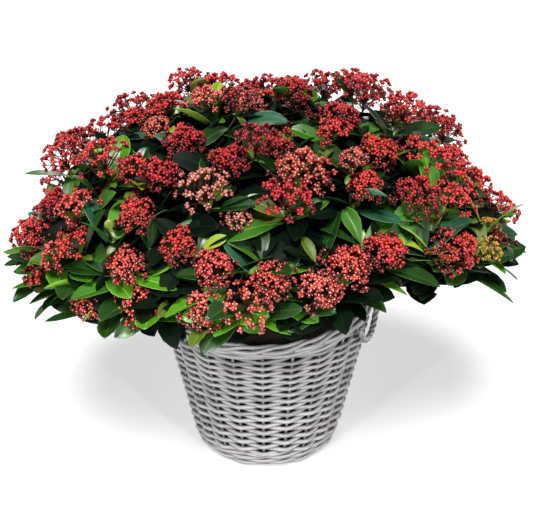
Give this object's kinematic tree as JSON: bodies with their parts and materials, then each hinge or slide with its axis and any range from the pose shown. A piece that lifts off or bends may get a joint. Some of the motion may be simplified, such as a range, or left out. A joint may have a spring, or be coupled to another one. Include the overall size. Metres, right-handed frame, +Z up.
{
  "type": "potted skimmia shrub",
  "caption": "Rounded evergreen skimmia shrub with domed heads of red flower buds over glossy green leaves, standing in a round woven willow basket with rope ears.",
  "frame": {"origin": "centre of the basket's flat underside", "axes": "+Z up, +X along the crown's longest side, -Y towards the front of the bush"},
  "size_m": [0.7911, 0.5891, 0.6194],
  "materials": {
    "willow": "matte",
    "liner": "satin",
    "soil": "matte",
    "bark": "matte",
    "foliage": "satin"
  },
  "bodies": {
    "root": {"basket_base": "willow", "basket_foot_wale": "willow", "basket_siding": "willow", "basket_top_wale": "willow", "basket_border": "willow", "basket_ear_right": "willow", "basket_ear_left": "willow", "pot_liner": "liner", "soil": "soil", "trunk": "bark", "bough_01": "bark", "foliage_01": "foliage", "bough_02": "bark", "foliage_02": "foliage", "bough_03": "bark", "foliage_03": "foliage", "bough_04": "bark", "foliage_04": "foliage", "bough_05": "bark", "foliage_05": "foliage", "bough_06": "bark", "foliage_06": "foliage", "bough_07": "bark", "foliage_07": "foliage", "bough_08": "bark", "foliage_08": "foliage", "bough_09": "bark", "foliage_09": "foliage", "bough_10": "bark", "foliage_10": "foliage", "bough_11": "bark", "foliage_11": "foliage", "bough_12": "bark", "foliage_12": "foliage", "bough_13": "bark", "foliage_13": "foliage", "bough_14": "bark", "foliage_14": "foliage", "bough_15": "bark", "foliage_15": "foliage", "bough_16": "bark", "foliage_16": "foliage", "bough_17": "bark", "foliage_17": "foliage", "bough_18": "bark", "foliage_18": "foliage", "bough_19": "bark", "foliage_19": "foliage", "bough_20": "bark", "foliage_20": "foliage", "bough_21": "bark", "foliage_21": "foliage", "bough_22": "bark", "foliage_22": "foliage", "bough_23": "bark", "foliage_23": "foliage", "bough_24": "bark", "foliage_24": "foliage"}
  },
  "joints": []
}
